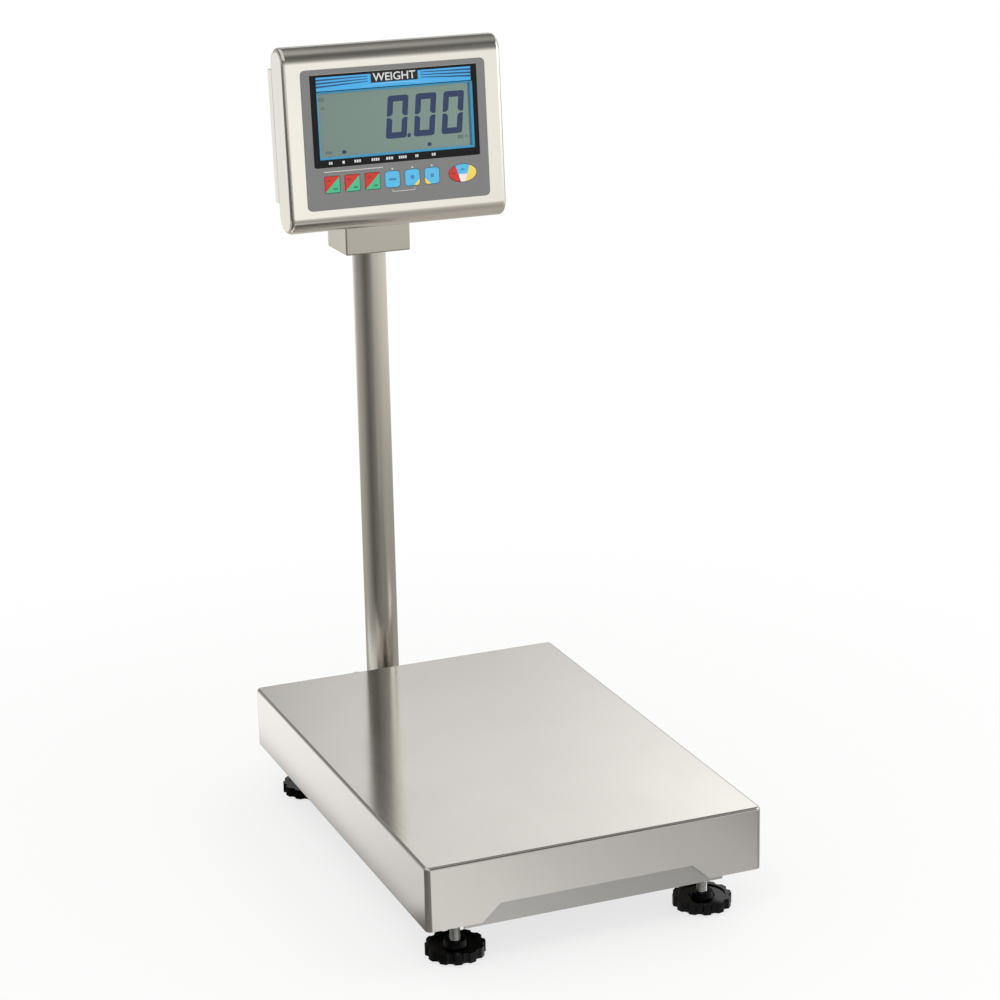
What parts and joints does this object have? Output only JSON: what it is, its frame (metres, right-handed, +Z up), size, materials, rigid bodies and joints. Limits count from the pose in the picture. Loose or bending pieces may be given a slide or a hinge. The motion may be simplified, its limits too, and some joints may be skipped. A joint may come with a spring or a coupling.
{
  "type": "bench scale",
  "caption": "Platform bench scale with a stainless platter on a load cell and screw feet, and a tilting display head with keys on a rear column.",
  "frame": {"origin": "on the floor under the middle of the whole scale: midway across the platter, and midway between the platter's front and the column flange's back", "axes": "+Z up along the column, +X to the right of a person who reads the display, -Y towards that person"},
  "size_m": [0.4, 0.7336, 0.9232],
  "materials": {
    "brushed_stainless": "brushed stainless sheet and tube",
    "case_steel": "satin stainless sheet of the display case",
    "frame_steel": "grey finish on folded steel",
    "zinc_steel": "bright plated screws and nuts",
    "load_cell_aluminium": "machined aluminium",
    "black_plastic": "glossy black moulded plastic",
    "black_rubber": "matt black rubber",
    "lead_jacket": "dark grey cable jacket",
    "overlay_film": "grey printed film",
    "window_glass": "clear window over the display",
    "lcd_glass": "grey-green liquid crystal display",
    "circuit_board": "green circuit board with its parts",
    "battery_wrap": "dark wrapped cells",
    "level_vial": "round level with a yellow-green vial",
    "red_green_key": "printed red and green key",
    "blue_key": "printed blue key",
    "oval_key": "printed key in red, blue, white and yellow"
  },
  "bodies": {
    "base": {"base_frame": "frame_steel", "front_panel": "brushed_stainless", "load_cell": "load_cell_aluminium", "load_spider": "frame_steel", "corner_pad_front_left": "black_rubber", "corner_pad_front_right": "black_rubber", "corner_pad_rear_left": "black_rubber", "corner_pad_rear_right": "black_rubber", "overload_stop_front_left": "zinc_steel", "overload_stop_front_right": "zinc_steel", "overload_stop_rear_left": "zinc_steel", "overload_stop_rear_right": "zinc_steel", "column_arm": "frame_steel", "column_flange": "brushed_stainless", "flange_bolt_front_left": "zinc_steel", "flange_bolt_front_right": "zinc_steel", "flange_bolt_rear_left": "zinc_steel", "flange_bolt_rear_right": "zinc_steel", "column_tube": "brushed_stainless", "neck_bracket": "brushed_stainless", "load_cell_lead": "lead_jacket", "head_lead": "lead_jacket", "bubble_level": "level_vial", "lock_nut_front_left": "zinc_steel", "lock_nut_front_right": "zinc_steel", "lock_nut_rear_left": "zinc_steel", "lock_nut_rear_right": "zinc_steel"},
    "platter": {"platter": "brushed_stainless"},
    "head": {"front_shell": "case_steel", "rear_housing": "case_steel", "housing_gasket": "black_rubber", "keypad_overlay": "overlay_film", "display_window": "window_glass", "lcd_module": "lcd_glass", "main_board": "circuit_board", "switch_board": "circuit_board", "battery_pack": "battery_wrap", "hinge_bracket": "brushed_stainless", "cable_gland": "black_plastic"},
    "tilt_knob_left": {"tilt_knob_left": "black_plastic"},
    "tilt_knob_right": {"tilt_knob_right": "black_plastic"},
    "key_split_left": {"key_split_left": "red_green_key"},
    "key_split_middle": {"key_split_middle": "red_green_key"},
    "key_split_right": {"key_split_right": "red_green_key"},
    "key_blue_left": {"key_blue_left": "blue_key"},
    "key_blue_middle": {"key_blue_middle": "blue_key"},
    "key_blue_right": {"key_blue_right": "blue_key"},
    "key_oval": {"key_oval": "oval_key"},
    "foot_pad_front_left": {"foot_pad_front_left": "black_rubber"},
    "foot_screw_front_left": {"foot_knob_front_left": "black_plastic", "foot_stud_front_left": "zinc_steel"},
    "foot_pad_front_right": {"foot_pad_front_right": "black_rubber"},
    "foot_screw_front_right": {"foot_knob_front_right": "black_plastic", "foot_stud_front_right": "zinc_steel"},
    "foot_pad_rear_left": {"foot_pad_rear_left": "black_rubber"},
    "foot_screw_rear_left": {"foot_knob_rear_left": "black_plastic", "foot_stud_rear_left": "zinc_steel"},
    "foot_pad_rear_right": {"foot_pad_rear_right": "black_rubber"},
    "foot_screw_rear_right": {"foot_knob_rear_right": "black_plastic", "foot_stud_rear_right": "zinc_steel"}
  },
  "joints": [
    {"name": "platter_lift", "type": "slide", "parent": "base", "child": "platter", "axis": [0, 0, 1], "range_m": [0, 0.15]},
    {"name": "head_tilt", "type": "hinge", "parent": "base", "child": "head", "pos_m": [0, 0.3102, 0.7855], "axis": [-1, 0, 0], "range_deg": [-14, 26], "deforming": ["head_lead"]},
    {"name": "tilt_knob_left_turn", "type": "hinge", "parent": "base", "child": "tilt_knob_left", "pos_m": [-0.0495, 0.3102, 0.7855], "axis": [-1, 0, 0], "range_deg": [0, 90]},
    {"name": "tilt_knob_right_turn", "type": "hinge", "parent": "base", "child": "tilt_knob_right", "pos_m": [0.0495, 0.3102, 0.7855], "axis": [1, 0, 0], "range_deg": [0, 90]},
    {"name": "key_split_left_press", "type": "slide", "parent": "head", "child": "key_split_left", "axis": [0, 0.9976, -0.0698], "range_m": [0, 0.0004], "stiffness_N_per_m": 1500},
    {"name": "key_split_middle_press", "type": "slide", "parent": "head", "child": "key_split_middle", "axis": [0, 0.9976, -0.0698], "range_m": [0, 0.0004], "stiffness_N_per_m": 1500},
    {"name": "key_split_right_press", "type": "slide", "parent": "head", "child": "key_split_right", "axis": [0, 0.9976, -0.0698], "range_m": [0, 0.0004], "stiffness_N_per_m": 1500},
    {"name": "key_blue_left_press", "type": "slide", "parent": "head", "child": "key_blue_left", "axis": [0, 0.9976, -0.0698], "range_m": [0, 0.0004], "stiffness_N_per_m": 1500},
    {"name": "key_blue_middle_press", "type": "slide", "parent": "head", "child": "key_blue_middle", "axis": [0, 0.9976, -0.0698], "range_m": [0, 0.0004], "stiffness_N_per_m": 1500},
    {"name": "key_blue_right_press", "type": "slide", "parent": "head", "child": "key_blue_right", "axis": [0, 0.9976, -0.0698], "range_m": [0, 0.0004], "stiffness_N_per_m": 1500},
    {"name": "key_oval_press", "type": "slide", "parent": "head", "child": "key_oval", "axis": [0, 0.9976, -0.0698], "range_m": [0, 0.0004], "stiffness_N_per_m": 1500},
    {"name": "foot_lift_front_left", "type": "slide", "parent": "base", "child": "foot_pad_front_left", "axis": [0, 0, -1], "range_m": [-0.014, 0.007]},
    {"name": "foot_turn_front_left", "type": "hinge", "parent": "foot_pad_front_left", "child": "foot_screw_front_left", "pos_m": [-0.15, -0.3175, 0.009], "axis": [0, 0, -1], "range_deg": [-2881, 1441]},
    {"name": "foot_lift_front_right", "type": "slide", "parent": "base", "child": "foot_pad_front_right", "axis": [0, 0, -1], "range_m": [-0.014, 0.007]},
    {"name": "foot_turn_front_right", "type": "hinge", "parent": "foot_pad_front_right", "child": "foot_screw_front_right", "pos_m": [0.15, -0.3175, 0.009], "axis": [0, 0, -1], "range_deg": [-2881, 1441]},
    {"name": "foot_lift_rear_left", "type": "slide", "parent": "base", "child": "foot_pad_rear_left", "axis": [0, 0, -1], "range_m": [-0.014, 0.007]},
    {"name": "foot_turn_rear_left", "type": "hinge", "parent": "foot_pad_rear_left", "child": "foot_screw_rear_left", "pos_m": [-0.15, 0.1839, 0.009], "axis": [0, 0, -1], "range_deg": [-2881, 1441]},
    {"name": "foot_lift_rear_right", "type": "slide", "parent": "base", "child": "foot_pad_rear_right", "axis": [0, 0, -1], "range_m": [-0.014, 0.007]},
    {"name": "foot_turn_rear_right", "type": "hinge", "parent": "foot_pad_rear_right", "child": "foot_screw_rear_right", "pos_m": [0.15, 0.1839, 0.009], "axis": [0, 0, -1], "range_deg": [-2881, 1441]}
  ],
  "couplings": [
    {"joint": "foot_turn_front_left", "follows": "foot_lift_front_left", "rad_per_m": 3590.4},
    {"joint": "foot_turn_front_right", "follows": "foot_lift_front_right", "rad_per_m": 3590.4},
    {"joint": "foot_turn_rear_left", "follows": "foot_lift_rear_left", "rad_per_m": 3590.4},
    {"joint": "foot_turn_rear_right", "follows": "foot_lift_rear_right", "rad_per_m": 3590.4}
  ]
}
